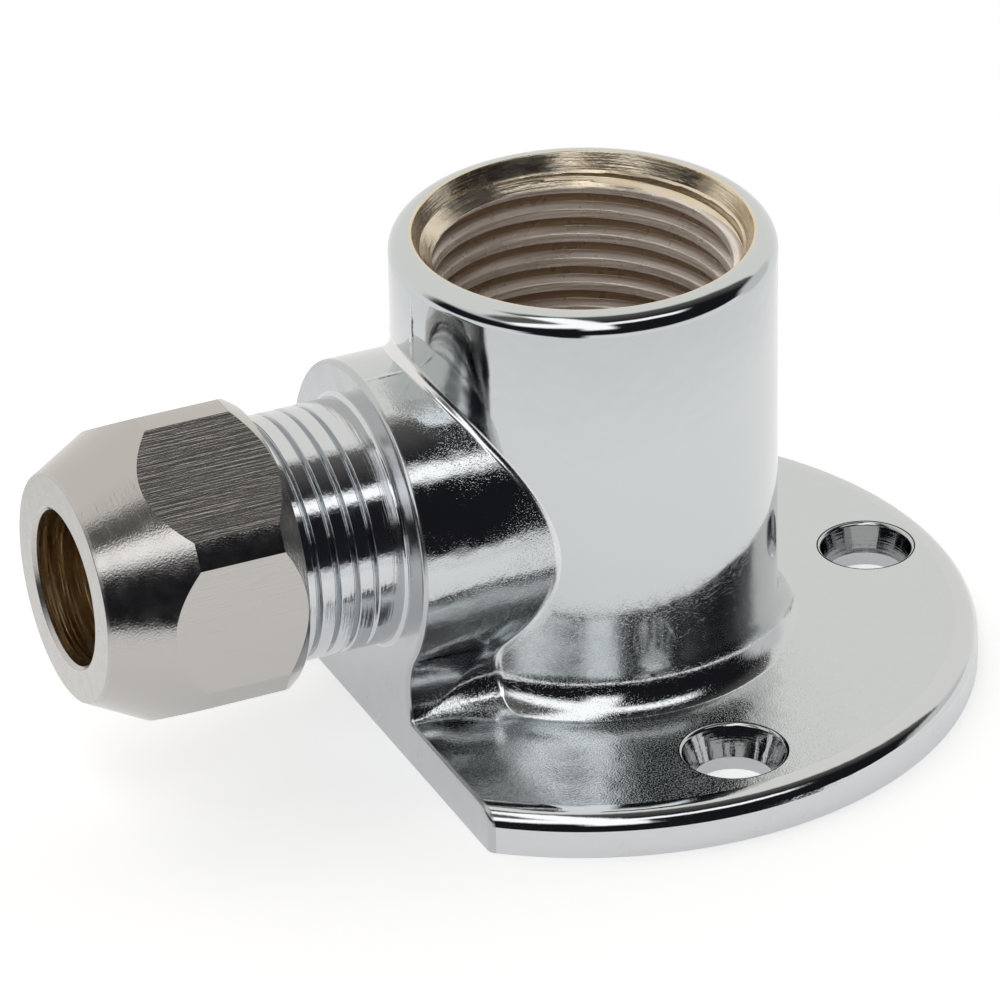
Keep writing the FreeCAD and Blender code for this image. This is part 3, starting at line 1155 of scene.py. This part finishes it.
def studio_floor():
    """A round pale floor that keeps the shadow near the part and fades into the white round it."""
    turns = 2 * pi * np.arange(floor_columns) / floor_columns
    corners = [(floor_size * cos(turn), floor_size * sin(turn), 0) for turn in turns]
    mesh = bpy.data.meshes.new("floor")
    mesh.from_pydata(corners, [], [list(range(floor_columns))])
    floor = placed("floor", mesh)
    material = bpy.data.materials.new("pale_floor")
    studio = Studio(material)
    path = studio.add("ShaderNodeLightPath").outputs
    mirrored = studio.math("MULTIPLY", path["Is Glossy Ray"], floor_mirrored)
    shown = studio.math("MAXIMUM", path["Is Camera Ray"], mirrored)
    pale = studio.add("ShaderNodeBsdfDiffuse", floor_colour)
    glow = studio.add("ShaderNodeEmission", pure_white, studio.math("MULTIPLY", shown, floor_glow))
    lit = studio.add("ShaderNodeAddShader", pale, glow)
    white = studio.add("ShaderNodeEmission", pure_white, shown)
    distance = studio.length(studio.add("ShaderNodeTexCoord").outputs["Object"])
    fade = studio.ranged(distance, floor_clear, floor_size, 0, 1, shape="SMOOTHSTEP")
    studio.add("ShaderNodeOutputMaterial", studio.add("ShaderNodeMixShader", fade, lit, white))
    mesh.materials.append(material)


def photo_camera():
    """The camera at the photograph's viewing angle."""
    data = bpy.data.cameras.new("photo_camera")
    data.lens = camera_lens
    data.sensor_width = camera_sensor
    data.clip_start, data.clip_end = camera_clip
    camera = placed("photo_camera", data)
    level = cos(camera_elevation)
    back = Vector((sin(camera_azimuth) * level, -cos(camera_azimuth) * level, sin(camera_elevation)))
    right = Vector((0, 0, 1)).cross(back).normalized()
    up = back.cross(right)
    tilted_right = right * cos(camera_roll) + up * sin(camera_roll)
    tilted_up = back.cross(tilted_right)
    turn = Matrix((tilted_right, tilted_up, back)).transposed().to_4x4()
    camera.matrix_world = Matrix.Translation(camera_target + back * camera_distance) @ turn
    bpy.context.scene.camera = camera


brass = bare_brass()
forging = elbow_body({
    "forged": forged_chrome(),
    "wall": wall_chrome(),
    "crease": crease_painted_highlight_chrome(),
    "edge": edge_chrome(),
    # The milled plate is coloured darker than the trimmed plate as painted shade, standing in for the
    # shadowed floor that the milled faces reflect.
    "milled": milled_chrome("milled_chrome", (0.55, 0.565, 0.58)),
    "trimmed": milled_chrome("trimmed_chrome", (0.68, 0.695, 0.71)),
    "turned": turned_chrome(),
    "thread": thread_chrome(),
    "mouth": brass_mouth(),
    "bore": plated_bore(),
    "bare": brass,
})
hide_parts("elbow_body")
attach(forging, "elbow")

nut = compression_nut({
    "milled": milled_nickel(),
    "turned": turned_nickel(),
    "face": nickel_face(),
    "bore": bore_brass(),
})
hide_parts("compression_nut")
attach(nut, "nut")

for slot in frame["nodes"]["compression_ring"].material_slots:
    slot.material = brass

studio_world()
studio_floor()
photo_camera()
bpy.context.scene.view_settings.view_transform = "Standard"
